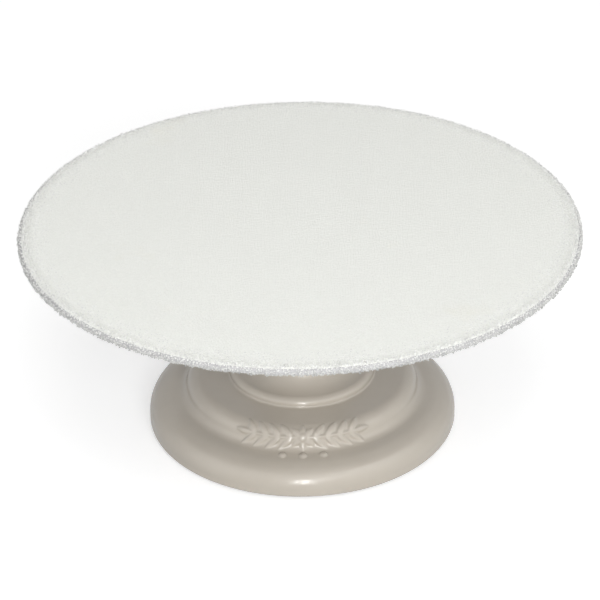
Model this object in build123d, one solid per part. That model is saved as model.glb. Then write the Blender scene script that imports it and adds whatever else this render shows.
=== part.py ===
"""Cake-decorating turntable.

A round aluminium plate with a loose non-slip pad turns on a heavy cast-iron pedestal. The plate is screwed to
a hub, the hub is pressed on a steel spindle, and the spindle runs in two shielded deep-groove ball bearings in
the neck of the casting. A washer and a retaining ring under the lower bearing keep the spindle in.

Units are millimetres. +Z is up, the origin is on the axis at the level that the rubber feet stand on, and the
ornament on the casting faces -Y. An azimuth is an angle in degrees about +Z, from the front towards +X.
"""

from build123d import *
import os
from math import atan2, cos, pi, radians, sin, tan

# Whole object
TOTAL_HEIGHT = 124.5
PAD_DIAMETER = 310.0
PAD_THICKNESS = 3.5
PLATE_DIAMETER = 300.0
PLATE_THICKNESS = 3.0
BASE_DIAMETER = 173.8
NECK_TOP = 104.0
RIM_LIFT = 1.0

# Levels that follow from those
PLATE_TOP = TOTAL_HEIGHT - PAD_THICKNESS
PLATE_BOTTOM = PLATE_TOP - PLATE_THICKNESS

# Outer steps of the casting, from the floor up. The foot slopes up to the step, and the step's side leans in.
FOOT_EDGE_HEIGHT = 13.5
FOOT_EDGE_ROUND = 11.0
FOOT_SHOULDER_RADIUS = 76.0
FOOT_SHOULDER_HEIGHT = 17.8
FOOT_SHOULDER_ROUND = 16.0
STEP_BOTTOM_RADIUS = 66.2
STEP_BOTTOM = 18.6
STEP_COVE = 5.5
STEP_RADIUS = 63.8
STEP_TOP = 29.6
STEP_ROUND = 8.0
STEP_LEAN = atan2(STEP_BOTTOM_RADIUS - STEP_RADIUS, STEP_TOP - STEP_BOTTOM)
STEP_ROUND_CENTRE = STEP_RADIUS - STEP_ROUND * tan(pi / 4 - STEP_LEAN / 2)
COLLAR_RADIUS = 41.1
COLLAR_TOP = 34.6
COLLAR_ROUND = 3.7
COLLAR_COVE = 1.2
NECK_COVE_RADIUS = 25.4
NECK_COVE = 12.0
NECK_WAIST_RADIUS = 24.4
NECK_WAIST_HEIGHT = 66.0
NECK_WAIST_ROUND = 120.0
HEAD_RADIUS = 31.5
HEAD_FLARE_HEIGHT = 92.0
HEAD_FLARE_ROUND = 30.0
HEAD_EDGE_ROUND = 3.0

# Inside of the casting
WALL = 6.6
RIM_INNER_RADIUS = 80.3
RIM_INNER_ROUND = 0.8
RIM_OUTER_ROUND = 1.8
FOOT_ROOF = 10.65
FOOT_ROOF_ROUND = 5.0
STEP_INNER_RADIUS = 58.9
STEP_ROOF = STEP_TOP - WALL
STEP_ROOF_ROUND = 4.0
COLLAR_INNER_RADIUS = COLLAR_RADIUS - WALL
HOLLOW_ROUND = 3.0
HOUSING_RADIUS = 24.0
HOUSING_BOTTOM = 12.0
HOUSING_ROOF = 27.0
HOUSING_EDGE_ROUND = 1.5
HOUSING_ROOT_ROUND = 4.0
SEAT_EDGE_ROUND = 0.6
RELIEF_BORE_RADIUS = 14.0

# Ball bearings, 15 x 35 x 11
BEARING_BORE = 15.0
BEARING_OUTER = 35.0
BEARING_WIDTH = 11.0
PITCH_RADIUS = 12.5
BALL_COUNT = 8
BALL_RADIUS = 2.975
GROOVE_RADIUS = 3.02
INNER_LAND_RADIUS = 10.6
OUTER_LAND_RADIUS = 14.7
SHIELD_SEAT_RADIUS = 14.9
SHIELD_SEAT_DEPTH = 1.2
SHIELD_THICKNESS = 0.4
SHIELD_INSET = 0.5
SHIELD_INNER_RADIUS = 11.2
CAGE_INNER_RADIUS = 11.6
CAGE_OUTER_RADIUS = 13.4
CAGE_HALF_HEIGHT = 3.7
CAGE_POCKET_RADIUS = 3.05
UPPER_BEARING_BOTTOM = HEAD_FLARE_HEIGHT
LOWER_BEARING_BOTTOM = 26.0
LOWER_BEARING_TOP = LOWER_BEARING_BOTTOM + BEARING_WIDTH
UPPER_BEARING_TOP = UPPER_BEARING_BOTTOM + BEARING_WIDTH

# Spindle and what is on it
JOURNAL_RADIUS = BEARING_BORE / 2
SHANK_RADIUS = 10.0
SPINDLE_BOTTOM = 20.0
SPINDLE_CHAMFER = 0.8
RING_GROOVE_RADIUS = 6.9
RING_GROOVE_BOTTOM = 23.35
RING_GROOVE_TOP = 24.5
WASHER_RADIUS = 10.4
WASHER_BORE_RADIUS = 7.6
RING_THICKNESS = 1.0
RING_OUTER_RADIUS = 9.4
RING_GAP = 3.4
LUG_RADIUS = 1.5
LUG_EYE_RADIUS = 0.7
LUG_AZIMUTHS = (-20, 20)
SLEEVE_RADIUS = 9.4
SLEEVE_BORE_RADIUS = 7.55

# Hub and its fasteners
HUB_FLANGE_RADIUS = 40.0
HUB_FLANGE_THICKNESS = 5.0
HUB_BOSS_RADIUS = 20.0
HUB_BOTTOM = 105.0
SCREW_COUNT = 4
SCREW_CIRCLE_RADIUS = 28.0
SCREW_RADIUS = 2.5
SCREW_HEAD_RADIUS = 4.6
SCREW_HEAD_INSET = 0.1
SCREW_END = 113.3
PLATE_HOLE_RADIUS = 2.75
COUNTERSINK_RADIUS = 4.8
SET_SCREW_HEIGHT = 108.8
SET_SCREW_LENGTH = 9.0
SOCKET_WIDTH = 3.0
SOCKET_DEPTH = 1.8

# Rubber feet, pushed into bosses under the casting
FOOT_COUNT = 4
FOOT_CIRCLE_RADIUS = 69.0
FOOT_RADIUS = 6.5
FOOT_HEIGHT = 4.0
FOOT_STEM_RADIUS = 3.0
FOOT_STEM_TOP = 10.5
FOOT_BOSS_RADIUS = 8.0

# Pressed cap that closes the bearing housing from below
CAP_BOTTOM = 13.0
CAP_TOP = 18.0
CAP_WALL = 1.2

# Cast ornament: a leaf sprig on the rounded step, and three studs on the ledge below it
SPRIG_TILT = 28.0
LEAF_RADIUS = 1.6
LEAF_AZIMUTHS = (5.5, 11.5, 17.5, 23.5)
LEAF_SWEEP = 4.5
LEAF_RISE = 34.0
STEM_RADIUS = 0.8
STEM_END_AZIMUTH = 27.0
TIP_END_AZIMUTH = 31.5
BEAD_RADIUS = 2.4
STUD_RADIUS = 2.2
STUD_CIRCLE_RADIUS = 71.5
STUD_HEIGHT = 17.3
STUD_AZIMUTHS = (-9.0, 0.0, 9.0)


def spot(radius, height, azimuth):
    """The point at that radius, height and azimuth."""
    turn = radians(azimuth)
    return Vector(radius * sin(turn), -radius * cos(turn), height)


def turned(corners):
    """A solid of revolution about Z. Each corner of its section is (radius, height, rounding)."""
    outline = FilletPolyline(
        *[(r, 0, z) for r, z, _ in corners],
        radius=[rounding for _, _, rounding in corners],
        close=True,
    )
    return revolve(make_face(outline), Axis.Z)


def rod(radius, bottom, top):
    """A round bar on the axis."""
    return Pos(0, 0, bottom) * Cylinder(radius, top - bottom, align=(Align.CENTER, Align.CENTER, Align.MIN))


def ring(inner, outer, bottom, top):
    """A plain ring about the axis."""
    return rod(outer, bottom, top) - rod(inner, bottom - 1, top + 1)


def around(count, first, radius, height=0.0):
    """Places evenly spaced on a circle, each turned to face along its own azimuth."""
    step = 360 / count
    return [
        Pos(*spot(radius, height, first + i * step)) * Rot(0, 0, first + i * step)
        for i in range(count)
    ]


def bead_between(start, end, radius):
    """A round-ended bar between two points."""
    along = end - start
    middle = Plane(origin=start + along / 2, z_dir=along)
    bar = middle * Cylinder(radius, along.length)
    return bar + Pos(*start) * Sphere(radius) + Pos(*end) * Sphere(radius)


def on_step(azimuth, tilt):
    """The point of the rounded step whose outward normal is tilted up by that angle."""
    lean = radians(tilt)
    radius = STEP_ROUND_CENTRE + STEP_ROUND * cos(lean)
    height = STEP_TOP - STEP_ROUND + STEP_ROUND * sin(lean)
    return spot(radius, height, azimuth)


def sprig_side(side):
    """Half of the sprig: paired leaves along a stem, and one leaf at its tip. side is 1 or -1."""
    pieces = []
    for azimuth in LEAF_AZIMUTHS:
        root = on_step(side * azimuth, SPRIG_TILT)
        for rise in (LEAF_RISE, -LEAF_RISE):
            tip = on_step(side * (azimuth + LEAF_SWEEP), SPRIG_TILT + rise)
            pieces.append(bead_between(root, tip, LEAF_RADIUS))
    stem_end = on_step(side * STEM_END_AZIMUTH, SPRIG_TILT)
    tip_end = on_step(side * TIP_END_AZIMUTH, SPRIG_TILT)
    pieces.append(bead_between(stem_end, tip_end, LEAF_RADIUS))
    return pieces


def sprig_stem():
    """The stem, an arc that follows the step."""
    centre = on_step(0, SPRIG_TILT)
    whole = Pos(0, 0, centre.Z) * Torus(-centre.Y, STEM_RADIUS)
    reach = -centre.Y + STEM_RADIUS
    half_width = (-centre.Y) * sin(radians(STEM_END_AZIMUTH))
    window = Pos(0, -reach, centre.Z) * Box(2 * half_width, 2 * reach, 4 * STEM_RADIUS)
    return whole & window


def ornament():
    """Everything raised on the front of the casting."""
    bead = Pos(*on_step(0, SPRIG_TILT)) * Sphere(BEAD_RADIUS)
    studs = [
        Pos(*spot(STUD_CIRCLE_RADIUS, STUD_HEIGHT, azimuth)) * Sphere(STUD_RADIUS)
        for azimuth in STUD_AZIMUTHS
    ]
    return [sprig_stem(), bead, *sprig_side(1), *sprig_side(-1), *studs]


def base_casting():
    """The pedestal: a stepped bell, open below, with the bearing housing down its middle."""
    base_radius = BASE_DIAMETER / 2
    seat_radius = BEARING_OUTER / 2
    shell = turned(
        [
            (RIM_INNER_RADIUS, RIM_LIFT, RIM_INNER_ROUND),
            (base_radius, RIM_LIFT, RIM_OUTER_ROUND),
            (base_radius, FOOT_EDGE_HEIGHT, FOOT_EDGE_ROUND),
            (FOOT_SHOULDER_RADIUS, FOOT_SHOULDER_HEIGHT, FOOT_SHOULDER_ROUND),
            (STEP_BOTTOM_RADIUS, STEP_BOTTOM, STEP_COVE),
            (STEP_RADIUS, STEP_TOP, STEP_ROUND),
            (COLLAR_RADIUS, STEP_TOP, COLLAR_COVE),
            (COLLAR_RADIUS, COLLAR_TOP, COLLAR_ROUND),
            (NECK_COVE_RADIUS, COLLAR_TOP, NECK_COVE),
            (NECK_WAIST_RADIUS, NECK_WAIST_HEIGHT, NECK_WAIST_ROUND),
            (HEAD_RADIUS, HEAD_FLARE_HEIGHT, HEAD_FLARE_ROUND),
            (HEAD_RADIUS, NECK_TOP, HEAD_EDGE_ROUND),
            (seat_radius, NECK_TOP, SEAT_EDGE_ROUND),
            (seat_radius, UPPER_BEARING_BOTTOM, 0),
            (RELIEF_BORE_RADIUS, UPPER_BEARING_BOTTOM, 0),
            (RELIEF_BORE_RADIUS, LOWER_BEARING_TOP, 0),
            (seat_radius, LOWER_BEARING_TOP, 0),
            (seat_radius, HOUSING_BOTTOM, SEAT_EDGE_ROUND),
            (HOUSING_RADIUS, HOUSING_BOTTOM, HOUSING_EDGE_ROUND),
            (HOUSING_RADIUS, HOUSING_ROOF, HOUSING_ROOT_ROUND),
            (COLLAR_INNER_RADIUS, HOUSING_ROOF, HOLLOW_ROUND),
            (COLLAR_INNER_RADIUS + WALL / 2, STEP_ROOF, HOLLOW_ROUND),
            (STEP_INNER_RADIUS, STEP_ROOF, STEP_ROOF_ROUND),
            (STEP_INNER_RADIUS, FOOT_ROOF, HOLLOW_ROUND),
            (RIM_INNER_RADIUS, FOOT_ROOF, FOOT_ROOF_ROUND),
        ]
    )
    boss = rod(FOOT_BOSS_RADIUS, FOOT_HEIGHT, FOOT_ROOF + WALL / 2)
    socket = rod(FOOT_STEM_RADIUS, FOOT_HEIGHT - 1, FOOT_STEM_TOP)
    feet = around(FOOT_COUNT, 45, FOOT_CIRCLE_RADIUS)
    shell = shell + [place * boss for place in feet]
    shell = shell - [place * socket for place in feet]
    return shell + ornament()


def rubber_foot():
    """One push-in foot: a round pad and its stem."""
    return turned(
        [
            (0, 0, 0),
            (FOOT_RADIUS, 0, 0.6),
            (FOOT_RADIUS, FOOT_HEIGHT, 0.4),
            (FOOT_STEM_RADIUS, FOOT_HEIGHT, 0),
            (FOOT_STEM_RADIUS, FOOT_STEM_TOP, 0.8),
            (0, FOOT_STEM_TOP, 0),
        ]
    )


def outer_race(bottom):
    """Outer ring of a bearing, with a seat for a shield at each face."""
    top = bottom + BEARING_WIDTH
    blank = turned(
        [
            (SHIELD_SEAT_RADIUS, bottom, 0),
            (BEARING_OUTER / 2, bottom, 0.6),
            (BEARING_OUTER / 2, top, 0.6),
            (SHIELD_SEAT_RADIUS, top, 0),
            (SHIELD_SEAT_RADIUS, top - SHIELD_SEAT_DEPTH, 0),
            (OUTER_LAND_RADIUS, top - SHIELD_SEAT_DEPTH, 0),
            (OUTER_LAND_RADIUS, bottom + SHIELD_SEAT_DEPTH, 0),
            (SHIELD_SEAT_RADIUS, bottom + SHIELD_SEAT_DEPTH, 0),
        ]
    )
    return blank - Pos(0, 0, bottom + BEARING_WIDTH / 2) * Torus(PITCH_RADIUS, GROOVE_RADIUS)


def inner_race(bottom):
    """Inner ring of a bearing."""
    top = bottom + BEARING_WIDTH
    blank = turned(
        [
            (JOURNAL_RADIUS, bottom, 0.5),
            (INNER_LAND_RADIUS, bottom, 0.3),
            (INNER_LAND_RADIUS, top, 0.3),
            (JOURNAL_RADIUS, top, 0.5),
        ]
    )
    return blank - Pos(0, 0, bottom + BEARING_WIDTH / 2) * Torus(PITCH_RADIUS, GROOVE_RADIUS)


def balls(bottom):
    """The balls of a bearing, each a solid of its own."""
    places = around(BALL_COUNT, 0, PITCH_RADIUS, bottom + BEARING_WIDTH / 2)
    return Compound(children=[place * Sphere(BALL_RADIUS) for place in places])


def cage(bottom):
    """The one-piece cage that spaces the balls."""
    middle = bottom + BEARING_WIDTH / 2
    band = ring(
        CAGE_INNER_RADIUS, CAGE_OUTER_RADIUS, middle - CAGE_HALF_HEIGHT, middle + CAGE_HALF_HEIGHT
    )
    places = around(BALL_COUNT, 0, PITCH_RADIUS, middle)
    return band - [place * Sphere(CAGE_POCKET_RADIUS) for place in places]


def shields(bottom):
    """The two pressed shields of a bearing."""
    top = bottom + BEARING_WIDTH
    lower = bottom + SHIELD_INSET
    upper = top - SHIELD_INSET - SHIELD_THICKNESS
    return Compound(
        children=[
            ring(SHIELD_INNER_RADIUS, SHIELD_SEAT_RADIUS, level, level + SHIELD_THICKNESS)
            for level in (lower, upper)
        ]
    )


def bearing_cap():
    """A pressed cup that keeps dirt out of the housing."""
    seat_radius = BEARING_OUTER / 2
    return turned(
        [
            (0, CAP_BOTTOM, 0),
            (seat_radius, CAP_BOTTOM, 1.0),
            (seat_radius, CAP_TOP, 0),
            (seat_radius - CAP_WALL, CAP_TOP, 0),
            (seat_radius - CAP_WALL, CAP_BOTTOM + CAP_WALL, 0.5),
            (0, CAP_BOTTOM + CAP_WALL, 0),
        ]
    )


def spindle():
    """The steel spindle, with a shoulder on the upper bearing and a groove for the retaining ring."""
    return turned(
        [
            (0, SPINDLE_BOTTOM, 0),
            (JOURNAL_RADIUS - SPINDLE_CHAMFER, SPINDLE_BOTTOM, 0),
            (JOURNAL_RADIUS, SPINDLE_BOTTOM + SPINDLE_CHAMFER, 0),
            (JOURNAL_RADIUS, RING_GROOVE_BOTTOM, 0),
            (RING_GROOVE_RADIUS, RING_GROOVE_BOTTOM, 0),
            (RING_GROOVE_RADIUS, RING_GROOVE_TOP, 0),
            (JOURNAL_RADIUS, RING_GROOVE_TOP, 0),
            (JOURNAL_RADIUS, UPPER_BEARING_TOP, 0),
            (SHANK_RADIUS, UPPER_BEARING_TOP, 0.5),
            (SHANK_RADIUS, PLATE_BOTTOM, 0.5),
            (0, PLATE_BOTTOM, 0),
        ]
    )


def retaining_ring():
    """An external retaining ring, open at the front, with two eyed lugs."""
    bottom = RING_GROOVE_TOP - RING_THICKNESS
    band = ring(RING_GROOVE_RADIUS, RING_OUTER_RADIUS, bottom, RING_GROOVE_TOP)
    gap = Pos(0, -RING_OUTER_RADIUS, bottom) * Box(RING_GAP, 2 * RING_OUTER_RADIUS, 4 * RING_THICKNESS)
    places = [Pos(*spot(RING_OUTER_RADIUS, 0, azimuth)) for azimuth in LUG_AZIMUTHS]
    lugs = [place * rod(LUG_RADIUS, bottom, RING_GROOVE_TOP) for place in places]
    eyes = [place * rod(LUG_EYE_RADIUS, bottom - 1, RING_GROOVE_TOP + 1) for place in places]
    return band - gap + lugs - eyes


def hub():
    """The hub: a flange under the plate and a boss on the spindle."""
    flange_bottom = PLATE_BOTTOM - HUB_FLANGE_THICKNESS
    body = turned(
        [
            (SHANK_RADIUS, HUB_BOTTOM, 0.5),
            (HUB_BOSS_RADIUS, HUB_BOTTOM, 0.8),
            (HUB_BOSS_RADIUS, flange_bottom, 3.0),
            (HUB_FLANGE_RADIUS, flange_bottom, 1.5),
            (HUB_FLANGE_RADIUS, PLATE_BOTTOM, 0.5),
            (SHANK_RADIUS, PLATE_BOTTOM, 0.5),
        ]
    )
    tapped = rod(SCREW_RADIUS, HUB_BOTTOM, PLATE_BOTTOM + 1)
    body = body - [place * tapped for place in around(SCREW_COUNT, 45, SCREW_CIRCLE_RADIUS)]
    cross_hole = Pos(0, 0, SET_SCREW_HEIGHT) * Rot(-90, 0, 0) * rod(SCREW_RADIUS, 0, HUB_FLANGE_RADIUS)
    return body - cross_hole


def hex_socket(across_flats, bottom, top):
    """A hexagonal bar on the axis, to cut a key socket with."""
    outline = RegularPolygon(across_flats / 2, 6, major_radius=False)
    return extrude(Pos(0, 0, bottom) * outline, top - bottom)


def plate_screw():
    """One countersunk screw, standing on the axis at its own height."""
    head_top = PLATE_TOP - SCREW_HEAD_INSET
    head_bottom = head_top - (SCREW_HEAD_RADIUS - SCREW_RADIUS)
    body = turned(
        [
            (0, SCREW_END, 0),
            (SCREW_RADIUS, SCREW_END, 0.4),
            (SCREW_RADIUS, head_bottom, 0),
            (SCREW_HEAD_RADIUS, head_top, 0),
            (0, head_top, 0),
        ]
    )
    return body - hex_socket(SOCKET_WIDTH, head_top - SOCKET_DEPTH, head_top + 1)


def plate_screws():
    """The four screws that hold the plate on the hub."""
    places = around(SCREW_COUNT, 45, SCREW_CIRCLE_RADIUS)
    return Compound(children=[place * plate_screw() for place in places])


def set_screw():
    """The grub screw that locks the hub on the spindle, pointing to the back."""
    outer_end = SHANK_RADIUS + SET_SCREW_LENGTH
    body = rod(SCREW_RADIUS, SHANK_RADIUS, outer_end)
    body = body - hex_socket(SOCKET_WIDTH, outer_end - SOCKET_DEPTH, outer_end + 1)
    return Pos(0, 0, SET_SCREW_HEIGHT) * Rot(-90, 0, 0) * body


def turntable_plate():
    """The aluminium plate, countersunk for the hub screws."""
    radius = PLATE_DIAMETER / 2
    disc = turned(
        [
            (0, PLATE_BOTTOM, 0),
            (radius, PLATE_BOTTOM, 1.2),
            (radius, PLATE_TOP, 1.2),
            (0, PLATE_TOP, 0),
        ]
    )
    sink = turned(
        [
            (0, PLATE_BOTTOM - 1, 0),
            (PLATE_HOLE_RADIUS, PLATE_BOTTOM - 1, 0),
            (PLATE_HOLE_RADIUS, PLATE_TOP - (COUNTERSINK_RADIUS - PLATE_HOLE_RADIUS), 0),
            (COUNTERSINK_RADIUS, PLATE_TOP, 0),
            (COUNTERSINK_RADIUS, PLATE_TOP + 1, 0),
            (0, PLATE_TOP + 1, 0),
        ]
    )
    return disc - [place * sink for place in around(SCREW_COUNT, 45, SCREW_CIRCLE_RADIUS)]


def non_slip_pad():
    """The loose pad, a little wider than the plate."""
    radius = PAD_DIAMETER / 2
    return turned(
        [
            (0, PLATE_TOP, 0),
            (radius, PLATE_TOP, 0.8),
            (radius, TOTAL_HEIGHT, 1.6),
            (0, TOTAL_HEIGHT, 0),
        ]
    )


def all_parts():
    """Every sub-part by its name."""
    parts = {
        "base_casting": base_casting(),
        "bearing_cap": bearing_cap(),
        "spindle": spindle(),
        "spacer_sleeve": ring(SLEEVE_BORE_RADIUS, SLEEVE_RADIUS, LOWER_BEARING_TOP, UPPER_BEARING_BOTTOM),
        "thrust_washer": ring(WASHER_BORE_RADIUS, WASHER_RADIUS, RING_GROOVE_TOP, LOWER_BEARING_BOTTOM),
        "retaining_ring": retaining_ring(),
        "hub": hub(),
        "hub_set_screw": set_screw(),
        "plate_screws": plate_screws(),
        "turntable_plate": turntable_plate(),
        "non_slip_pad": non_slip_pad(),
    }
    for name, bottom in (("upper", UPPER_BEARING_BOTTOM), ("lower", LOWER_BEARING_BOTTOM)):
        parts[f"{name}_outer_race"] = outer_race(bottom)
        parts[f"{name}_inner_race"] = inner_race(bottom)
        parts[f"{name}_balls"] = balls(bottom)
        parts[f"{name}_cage"] = cage(bottom)
        parts[f"{name}_shields"] = shields(bottom)
    for number, place in enumerate(around(FOOT_COUNT, 45, FOOT_CIRCLE_RADIUS), start=1):
        parts[f"rubber_foot_{number}"] = place * rubber_foot()
    return parts


os.makedirs("parts", exist_ok=True)
for part_name, shape in all_parts().items():
    export_step(shape, f"parts/{part_name}.step")
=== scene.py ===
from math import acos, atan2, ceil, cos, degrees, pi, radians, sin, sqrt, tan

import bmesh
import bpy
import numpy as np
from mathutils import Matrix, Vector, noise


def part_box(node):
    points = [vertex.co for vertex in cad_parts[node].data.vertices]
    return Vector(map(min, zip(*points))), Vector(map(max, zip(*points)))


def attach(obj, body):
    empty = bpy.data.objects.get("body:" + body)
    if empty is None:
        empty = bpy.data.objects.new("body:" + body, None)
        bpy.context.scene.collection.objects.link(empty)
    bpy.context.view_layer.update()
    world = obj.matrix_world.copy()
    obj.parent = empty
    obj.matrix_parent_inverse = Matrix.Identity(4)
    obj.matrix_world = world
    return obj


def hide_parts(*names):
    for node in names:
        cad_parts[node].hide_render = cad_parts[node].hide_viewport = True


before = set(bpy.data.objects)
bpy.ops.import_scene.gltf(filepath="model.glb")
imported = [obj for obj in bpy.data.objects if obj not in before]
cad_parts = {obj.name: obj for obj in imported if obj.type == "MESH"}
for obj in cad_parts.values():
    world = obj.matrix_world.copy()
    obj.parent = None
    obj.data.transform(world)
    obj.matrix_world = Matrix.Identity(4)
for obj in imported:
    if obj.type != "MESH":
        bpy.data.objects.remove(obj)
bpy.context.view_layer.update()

# Looks of the cake-decorating turntable. The enamelled pedestal and the granular pad are rebuilt as finer
# meshes on the CAD model's own outlines, and every other CAD piece stays and gets a material.
#
# Sizes of the object are in millimetres, as in the CAD source, until build_mesh() turns them into metres. An
# azimuth is an angle about +Z, from the front (-Y) towards +X.

MILLIMETRE = 0.001
RANDOM = np.random.default_rng(12)


def cad_size(node, axis):
    """Lowest and highest place of a CAD node along an axis (0 to 2), in millimetres."""
    low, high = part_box(node)
    return low[axis] / MILLIMETRE, high[axis] / MILLIMETRE


PAD_BOTTOM, TOTAL_HEIGHT = cad_size("non_slip_pad", 2)
PAD_RADIUS = cad_size("non_slip_pad", 0)[1]
PLATE_RADIUS = cad_size("turntable_plate", 0)[1]
BASE_RADIUS = cad_size("base_casting", 0)[1]
RIM_LIFT, NECK_TOP = cad_size("base_casting", 2)

# Outer steps of the casting, from the floor up
FOOT_EDGE_HEIGHT = 13.5
FOOT_EDGE_ROUND = 11.0
FOOT_SHOULDER_RADIUS = 76.0
FOOT_SHOULDER_HEIGHT = 17.8
FOOT_SHOULDER_ROUND = 16.0
STEP_BOTTOM_RADIUS = 66.2
STEP_BOTTOM = 18.6
STEP_COVE = 5.5
STEP_RADIUS = 63.8
STEP_TOP = 29.6
STEP_ROUND = 8.0
STEP_LEAN = atan2(STEP_BOTTOM_RADIUS - STEP_RADIUS, STEP_TOP - STEP_BOTTOM)
STEP_ROUND_CENTRE = STEP_RADIUS - STEP_ROUND * tan(pi / 4 - STEP_LEAN / 2)
COLLAR_RADIUS = 41.1
COLLAR_TOP = 34.6
COLLAR_ROUND = 3.7
COLLAR_COVE = 1.2
NECK_COVE_RADIUS = 25.4
NECK_COVE = 12.0
NECK_WAIST_RADIUS = 24.4
NECK_WAIST_HEIGHT = 66.0
NECK_WAIST_ROUND = 120.0
HEAD_RADIUS = 31.5
HEAD_FLARE_HEIGHT = 92.0
HEAD_FLARE_ROUND = 30.0
HEAD_EDGE_ROUND = 3.0

# Inside of the casting
WALL = 6.6
RIM_INNER_RADIUS = 80.3
RIM_INNER_ROUND = 0.8
RIM_OUTER_ROUND = 1.8
FOOT_ROOF = 10.65
FOOT_ROOF_ROUND = 5.0
STEP_INNER_RADIUS = 58.9
STEP_ROOF = STEP_TOP - WALL
STEP_ROOF_ROUND = 4.0
COLLAR_INNER_RADIUS = COLLAR_RADIUS - WALL
HOLLOW_ROUND = 3.0
HOUSING_RADIUS = 24.0
HOUSING_BOTTOM = 12.0
HOUSING_ROOF = 27.0
HOUSING_EDGE_ROUND = 1.5
HOUSING_ROOT_ROUND = 4.0
SEAT_EDGE_ROUND = 0.6
SEAT_RADIUS = 17.5
RELIEF_BORE_RADIUS = 14.0
LOWER_SEAT_TOP = 37.0
FOOT_CIRCLE_RADIUS = 69.0
FOOT_BOSS_RADIUS = 8.0
FOOT_BOSS_BOTTOM = 4.0
FOOT_BOSS_EDGE_ROUND = 0.9
FOOT_BOSS_ROOT_ROUND = 2.2
FOOT_BOSS_ROOT_REACH = 3.0
FOOT_BOSS_SINK = 0.8
FOOT_SOCKET_RADIUS = 3.0
FOOT_SOCKET_TOP = 10.5
FOOT_SOCKET_EDGE_ROUND = 0.5

# Unevenness of the casting's skin
BROAD_WAVE_SIZE = 24.0
BROAD_WAVE_DEPTH = 0.2
SMALL_WAVE_SIZE = 9.0
SMALL_WAVE_DEPTH = 0.06
WIDEST_ZONE = 2.5

# Ornament
ORNAMENT_BOTTOM = FOOT_SHOULDER_HEIGHT - 0.5
ORNAMENT_TOP = STEP_TOP + 1.0
ORNAMENT_INNER_RADIUS = 46.0
ORNAMENT_OUTER_RADIUS = 77.0
SPRIG_TILT = 28.0
SPRIG_AZIMUTH_LIMIT = 36.0
LEAF_AZIMUTHS = (5.5, 11.5, 17.5, 23.5)
LEAF_LENGTH = 10.8
LEAF_HALF_WIDTH = 2.35
LEAF_ANGLE = 44.0
LEAF_HEIGHT = 1.3
LEAF_FLANK = 0.8
LEAF_ROOT_OVERLAP = 0.6
VEIN_DEPTH = 0.3
VEIN_HALF_WIDTH = 0.5
STEM_END_AZIMUTH = 27.0
STEM_HALF_WIDTH = 0.9
STEM_HEIGHT = 0.85
TIP_LEAF_LENGTH = 0.9 * LEAF_LENGTH
TIP_LEAF_OVERLAP = 1.5
PETAL_ANGLES = (-90.0, -40.0, 40.0, 90.0)
PETAL_LENGTH = 7.6
PETAL_HALF_WIDTH = 2.5
BEAD_RADIUS = 2.7
BEAD_HEIGHT = 1.7
STUD_CIRCLE_RADIUS = 71.5
STUD_AZIMUTHS = (-9.0, 0.0, 9.0)
STUD_RADIUS = 2.3
STUD_HEIGHT = 1.3

# How finely the casting is divided
FINE_SPACING = 0.6
PLAIN_SPACING = 1.6
RUN_SPACING = 4.0
SMALLEST_ARC_STEP = radians(4)
LARGEST_ARC_STEP = radians(11)
FINE_AZIMUTH_STEP = 0.46
PLAIN_AZIMUTH_STEP = 2.2

# Pad. Its top is a shallow grain, which turns into loose crumbs towards the edge. The crumbs are wrapped
# round the edge as far as the plate, which is a little smaller.
PAD_TOP = TOTAL_HEIGHT - 0.42
PAD_SIDE = PAD_RADIUS - 1.35
PAD_SHOULDER_RADIUS = PAD_RADIUS - 9.0
PAD_SHOULDER_DROP = 0.65
PAD_SHOULDER_ROUND = 40.0
PAD_EDGE_ROUND = 2.8
PAD_LOWER_EDGE_ROUND = 0.5
PAD_BODY_BOTTOM = PAD_BOTTOM + 0.05
PAD_AZIMUTH_STEP = 1.5
PAD_WRAP = PLATE_RADIUS + 0.9
CRUMBLING_START = PAD_RADIUS - 18.0
CRUMBLING_HALF = PAD_RADIUS - 10.5
CRUMBLING_FULL = PAD_RADIUS - 5.0
CRUMB_SINK = 0.35
FEWEST_CRUMBS = 0.15
GRAIN_PITCH = 1.32
GRAIN_WIDTHS = (0.6, 0.88)
GRAIN_HEIGHTS = (0.08, 0.2)
GRAIN_PIECES = 5
FRINGE_COUNT = 2600
FRINGE_SIZES = (0.36, 0.58)
FRINGE_LEAST_REACH = 0.2
FRINGE_MOST_REACH = 1.4

# Crumbs as (name, step between rows, pitch along a row, sizes, how far they stand out, zone of radii)
CRUMB_ZONES = [
    ("pad_crumbs_sparse", 1.25, 1.3, (0.4, 0.62), (0.05, 0.4), (CRUMBLING_START, CRUMBLING_HALF)),
    ("pad_crumbs_top", 1.25, 1.3, (0.4, 0.62), (0.05, 0.45), (CRUMBLING_HALF, PAD_WRAP)),
    ("pad_edge_inner", 1.25, 1.3, (0.4, 0.6), (-0.15, 0.35), (PAD_WRAP, PAD_RADIUS)),
    ("pad_edge_outer", 1.7, 1.8, (0.36, 0.58), (0.45, 0.95), (PAD_WRAP, PAD_RADIUS)),
]

# The lengths of the room, the lamps and the camera are in metres, angles in degrees and powers in watts.

# The room's light: an even glow, and brighter sides as (azimuth, elevation, tightness, strength)
ROOM_GLOW = 0.325
ROOM_BRIGHT_SIDES = [(-65, 10, 5, 0.23), (50, 45, 5, 0.645), (-50, 45, 5, 0.215)]
ROOM_REFLECTION = 1.9

# Floor, with its own glow in reflections and for the camera
FLOOR_REACH = 9.0
FLOOR_GLOW_REFLECTED = 0.2
FLOOR_GLOW_SEEN = 0.5

# Lamps that only light surfaces, as (name, (width, height), power, place)
LAMPS = [
    ("overhead", (0.9, 0.7), 4.6, (0, -0.5, 1.35)),
    ("low_front", (0.9, 0.4), 13.3, (0.3, -1.45, 0.72)),
]
LAMP_TARGET = (0, 0, 0.08)

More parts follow.
